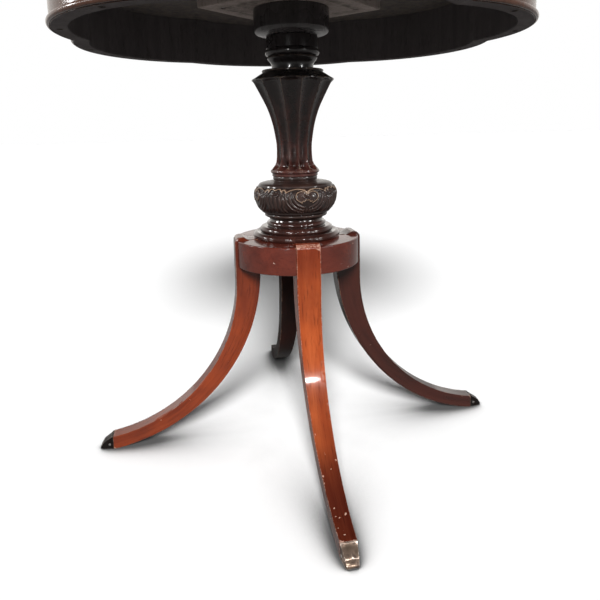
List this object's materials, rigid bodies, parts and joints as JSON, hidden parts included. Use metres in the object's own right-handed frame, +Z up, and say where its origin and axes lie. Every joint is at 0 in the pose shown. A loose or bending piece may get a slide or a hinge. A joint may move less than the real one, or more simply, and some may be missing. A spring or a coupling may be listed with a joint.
{
  "type": "pedestal drum table",
  "caption": "Lobed drum table with a deep curved apron on a fluted and carved turned pedestal, a round platform and splayed sabre legs with brass toe caps.",
  "frame": {"origin": "on the floor, on the axis of the column", "axes": "+Z up along the column, the front leg points to -Y and the right leg to +X"},
  "size_m": [0.6834, 0.7156, 0.737],
  "materials": {
    "gloss_mahogany": "french polished red-brown mahogany, high gloss, worn and chipped",
    "dark_mahogany": "dark stained mahogany, gloss, with pale wear on raised edges",
    "raw_wood": "unfinished, dusty grey-brown",
    "beech": "plain dowel",
    "aged_brass": "dark patina, rubbed brighter at the tip",
    "steel": "dull"
  },
  "bodies": {
    "root": {"top_board": "gloss_mahogany", "apron_segment_1": "gloss_mahogany", "apron_segment_2": "gloss_mahogany", "apron_segment_3": "gloss_mahogany", "apron_segment_4": "gloss_mahogany", "apron_segment_5": "gloss_mahogany", "apron_segment_6": "gloss_mahogany", "apron_bead_1": "gloss_mahogany", "apron_bead_2": "gloss_mahogany", "apron_bead_3": "gloss_mahogany", "apron_bead_4": "gloss_mahogany", "apron_bead_5": "gloss_mahogany", "apron_bead_6": "gloss_mahogany", "apron_screw_1": "steel", "apron_screw_2": "steel", "apron_screw_3": "steel", "apron_screw_4": "steel", "apron_screw_5": "steel", "apron_screw_6": "steel", "apron_screw_7": "steel", "apron_screw_8": "steel", "apron_screw_9": "steel", "apron_screw_10": "steel", "apron_screw_11": "steel", "apron_screw_12": "steel", "plate_screw_1": "steel", "plate_screw_2": "steel", "plate_screw_3": "steel", "plate_screw_4": "steel", "mounting_plate": "raw_wood", "collar_block": "dark_mahogany", "neck_turning": "dark_mahogany", "vase_turning": "dark_mahogany", "bulb_turning": "dark_mahogany", "base_moulding": "dark_mahogany", "platform": "gloss_mahogany", "tie_rod": "steel", "top_washer": "steel", "top_nut": "steel", "bottom_washer": "steel", "bottom_nut": "steel", "leg_front": "gloss_mahogany", "leg_right": "gloss_mahogany", "leg_back": "gloss_mahogany", "leg_left": "gloss_mahogany", "leg_dowel_front": "beech", "leg_dowel_right": "beech", "leg_dowel_back": "beech", "leg_dowel_left": "beech", "toe_cap_front": "aged_brass", "toe_cap_right": "aged_brass", "toe_cap_back": "aged_brass", "toe_cap_left": "aged_brass", "toe_cap_pin_front": "steel", "toe_cap_pin_right": "steel", "toe_cap_pin_back": "steel", "toe_cap_pin_left": "steel"}
  },
  "joints": []
}
